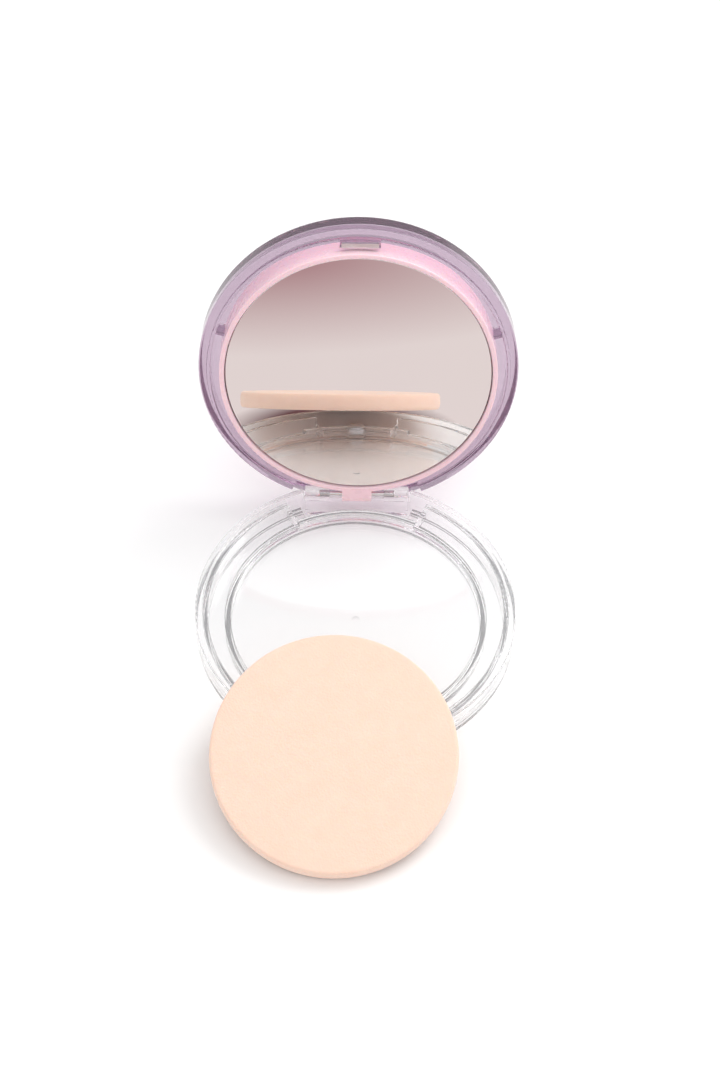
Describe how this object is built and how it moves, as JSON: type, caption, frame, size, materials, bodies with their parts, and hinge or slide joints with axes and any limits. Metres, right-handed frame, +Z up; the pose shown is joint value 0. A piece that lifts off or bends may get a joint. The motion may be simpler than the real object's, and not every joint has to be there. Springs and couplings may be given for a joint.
{
  "type": "powder compact",
  "caption": "Round clear powder compact with a lilac mirror lid, a pink mirror frame, an empty pan well and a peach foam sponge.",
  "frame": {"origin": "middle of the flat underside of the base, on the table", "axes": "+Z up along the axis of the round base, +X to the right along the hinge pin, +Y back towards the hinge; the lid opens at +Y and the sponge leans at -Y"},
  "size_m": [0.076, 0.1318, 0.0768],
  "materials": {
    "clear_plastic": "polished, clear",
    "lilac_plastic": "polished, clear with a lilac tint",
    "pink_plastic": "glossy, opaque",
    "mirror_glass": "polished",
    "tape_foam": "matte",
    "steel": "satin",
    "magnet_nickel": "plated",
    "sponge_foam": "matte foam with fine pores"
  },
  "bodies": {
    "base": {"base_shell": "clear_plastic", "inner_tray": "clear_plastic", "hinge_pin": "steel", "latch_magnet": "magnet_nickel"},
    "lid": {"lid_shell": "lilac_plastic", "mirror_frame": "pink_plastic", "mirror": "mirror_glass", "mirror_tape": "tape_foam", "keeper_plate": "steel"},
    "sponge": {"sponge": "sponge_foam"}
  },
  "joints": [
    {"name": "lid_hinge", "type": "hinge", "parent": "base", "child": "lid", "pos_m": [0, 0.0346, 0.0074], "axis": [1, 0, 0], "range_deg": [0, 106]},
    {"name": "sponge_slide", "type": "slide", "parent": "base", "child": "sponge", "axis": [0, -1, 0], "range_m": [0, 0.031]}
  ],
  "couplings": [
    {"joint": "sponge_slide", "follows": "lid_hinge", "m_per_rad": 0.0163}
  ]
}
